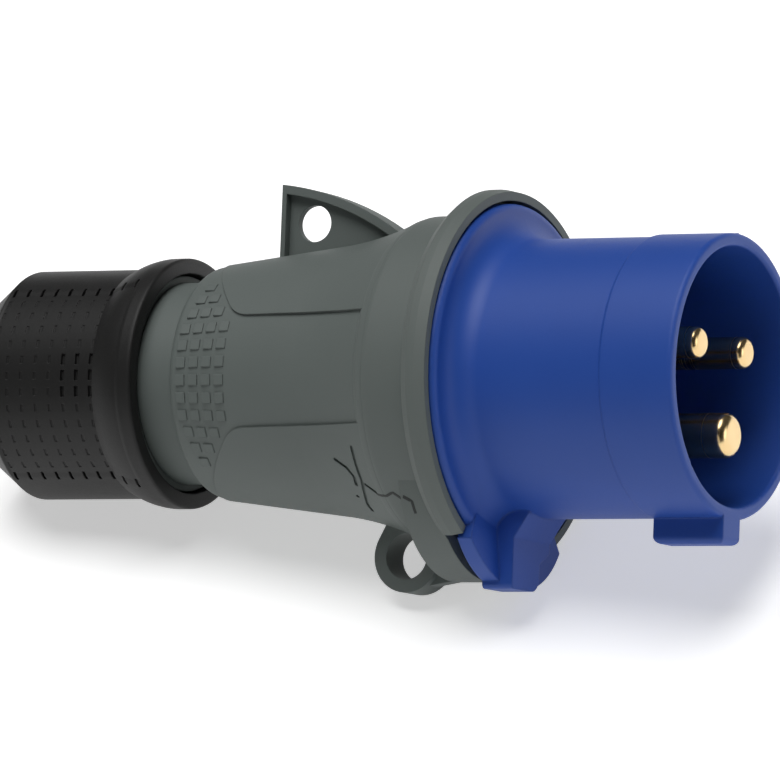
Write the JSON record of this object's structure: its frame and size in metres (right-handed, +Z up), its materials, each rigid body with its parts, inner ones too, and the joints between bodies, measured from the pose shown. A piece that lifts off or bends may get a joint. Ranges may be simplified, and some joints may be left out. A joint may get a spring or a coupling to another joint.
{
  "type": "industrial pin and sleeve plug",
  "caption": "Industrial power plug with a round keyed sleeve, recessed round pins, a flanged grey housing with fin and eye, and a screwed cable gland.",
  "frame": {"origin": "centre of the bounding box on the floor it lies on", "axes": "+Z up, +X along the plug from the cable entry to the pins, the plug lying on its side"},
  "size_m": [0.1356, 0.0588, 0.0585],
  "materials": {
    "grey_plastic": "fine satin",
    "blue_plastic": "half gloss",
    "black_plastic": "satin",
    "brass": "turned, bright",
    "zinc_steel": "zinc plated",
    "carrier_plastic": "satin",
    "seal_rubber": "matt",
    "clamp_plastic": "satin"
  },
  "bodies": {
    "plug_body": {"rear_housing": "grey_plastic", "sleeve_insert": "blue_plastic", "line_pin": "brass", "neutral_pin": "brass", "earth_pin": "brass", "line_screw": "zinc_steel", "neutral_screw": "zinc_steel", "earth_screw": "zinc_steel", "carrier_screw": "zinc_steel", "line_wire_plate": "zinc_steel", "neutral_wire_plate": "zinc_steel", "earth_wire_plate": "zinc_steel", "terminal_carrier": "carrier_plastic", "flange_seal": "seal_rubber", "cable_seal": "seal_rubber", "seal_core": "seal_rubber", "clamp_claws": "clamp_plastic"},
    "ring_body": {"pressure_ring": "clamp_plastic"},
    "nut_body": {"gland_nut": "black_plastic"}
  },
  "joints": [
    {"name": "nut_advance", "type": "slide", "parent": "plug_body", "child": "ring_body", "axis": [0.9905, 0, 0.1378], "range_m": [-0.0136, 0.0016]},
    {"name": "nut_turn", "type": "hinge", "parent": "ring_body", "child": "nut_body", "pos_m": [-0.0303, 0, 0.02166], "axis": [0.9905, 0, 0.1378], "range_deg": [-1620, 180]}
  ],
  "couplings": [
    {"joint": "nut_advance", "follows": "nut_turn", "m_per_rad": 0.00047746}
  ]
}
